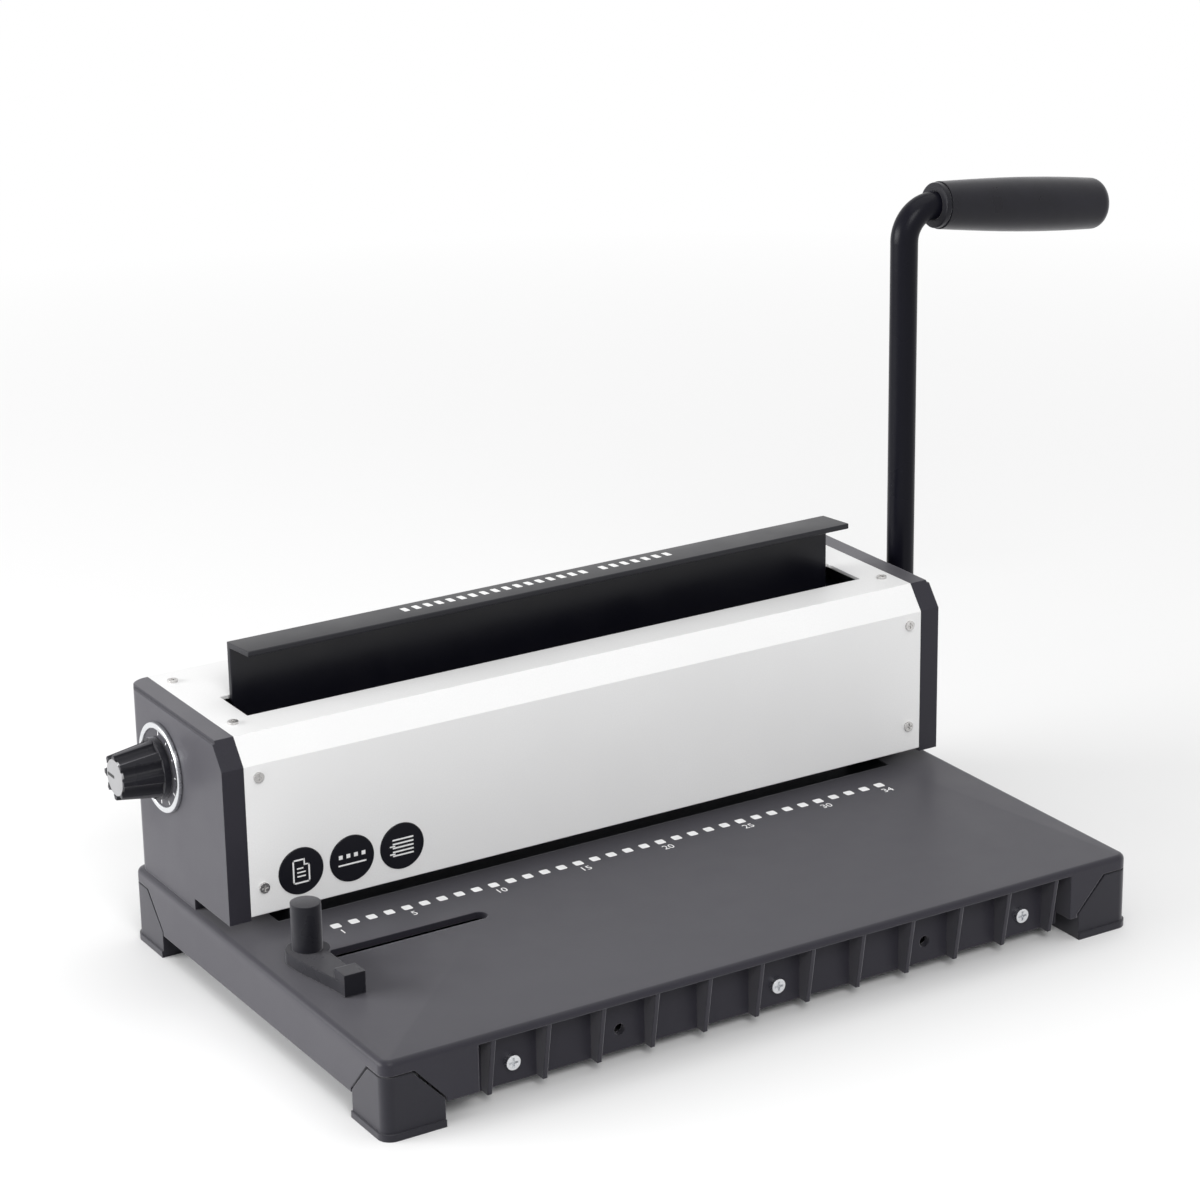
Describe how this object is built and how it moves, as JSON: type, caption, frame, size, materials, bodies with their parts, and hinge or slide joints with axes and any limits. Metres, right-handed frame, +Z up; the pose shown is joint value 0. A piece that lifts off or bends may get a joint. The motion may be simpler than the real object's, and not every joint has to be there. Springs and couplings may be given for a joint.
{
  "type": "wire binding machine",
  "caption": "Desk machine with a deck, a white housing and a side lever that punches a row of square holes and presses wire binding loops shut.",
  "frame": {"origin": "on the desk plane, under the middle of the overall box", "axes": "+X to the right along the hole row, +Y to the rear, +Z up"},
  "size_m": [0.515, 0.2316, 0.2933],
  "materials": {
    "grey_plastic": "fine-grained graphite grey moulding",
    "foot_plastic": "matt dark grey moulding",
    "black_paint": "satin black powder coat",
    "black_plastic": "satin black moulding",
    "grip_rubber": "smooth dark rubber",
    "white_paint": "fine-textured white powder coat",
    "bronze": "sintered bronze",
    "bright_metal": "bright zinc plate",
    "steel": "ground or plated steel"
  },
  "bodies": {
    "frame": {"base_shell": "grey_plastic", "bottom_plate": "steel", "bottom_screws": "steel", "front_screws": "bright_metal", "foot_front_left": "foot_plastic", "foot_front_right": "foot_plastic", "foot_rear_left": "foot_plastic", "foot_rear_right": "foot_plastic", "side_plate_left": "steel", "side_plate_right": "steel", "rear_tie_bar": "steel", "die_plate": "steel", "die_screws": "steel", "guide_plate": "steel", "paper_stop": "steel", "guide_post_left": "steel", "guide_post_right": "steel", "rack_guide_left": "black_plastic", "rack_guide_right": "black_plastic", "shaft_bush_left": "bronze", "shaft_bush_right": "bronze", "top_cover": "white_paint", "rear_cover": "white_paint", "end_cap_left": "grey_plastic", "end_cap_right": "grey_plastic", "cover_screws": "steel", "dial_plate": "grey_plastic", "dial_ring": "bright_metal", "return_spring_left": "steel", "return_spring_right": "steel"},
    "lever": {"main_shaft": "steel", "shaft_collar": "steel", "lever_hub": "black_paint", "hub_screw": "steel", "lever_rod": "black_paint", "lever_grip": "grip_rubber", "grip_collar": "black_plastic", "closing_gear_left": "steel", "closing_gear_right": "steel", "punch_pinion_left": "steel", "punch_pinion_right": "steel"},
    "punch": {"punch_beam": "steel", "punches": "steel", "punch_rack_left": "steel", "punch_rack_right": "steel"},
    "press": {"press_bar": "black_paint", "closing_rack_left": "steel", "closing_rack_right": "steel", "press_bar_screws": "steel"},
    "floor": {"channel_floor": "black_paint"},
    "knob": {"adjust_knob": "black_plastic", "knob_disc": "bright_metal", "knob_shaft": "steel", "cam_left": "steel", "cam_right": "steel"},
    "guide": {"edge_guide": "grey_plastic", "clamp_post": "grey_plastic", "guide_keeper": "steel"},
    "tray": {"chip_tray": "black_plastic"}
  },
  "joints": [
    {"name": "lever_swing", "type": "hinge", "parent": "frame", "child": "lever", "pos_m": [-0.05303, 0.073, 0.064], "axis": [1, 0, 0], "range_deg": [0, 90]},
    {"name": "punch_slide", "type": "slide", "parent": "frame", "child": "punch", "axis": [0, 0, -1], "range_m": [0, 0.01571], "stiffness_N_per_m": 5200, "springref_m": -0.0045, "deforming": ["return_spring_left", "return_spring_right"]},
    {"name": "press_slide", "type": "slide", "parent": "frame", "child": "press", "axis": [0, 0, -1], "range_m": [0, 0.01885]},
    {"name": "knob_turn", "type": "hinge", "parent": "frame", "child": "knob", "pos_m": [-0.05303, 0.0814, 0.091], "axis": [1, 0, 0], "range_deg": [0, 270]},
    {"name": "floor_lift", "type": "slide", "parent": "frame", "child": "floor", "axis": [0, 0, 1], "range_m": [0, 0.009]},
    {"name": "guide_slide", "type": "slide", "parent": "frame", "child": "guide", "axis": [1, 0, 0], "range_m": [0, 0.074]},
    {"name": "tray_slide", "type": "slide", "parent": "frame", "child": "tray", "axis": [1, 0, 0], "range_m": [0, 0.3]}
  ],
  "couplings": [
    {"joint": "lever_swing", "follows": "punch_slide", "rad_per_m": 100},
    {"joint": "press_slide", "follows": "punch_slide", "ratio": 1.2},
    {"joint": "knob_turn", "follows": "floor_lift", "rad_per_m": 523.6}
  ]
}
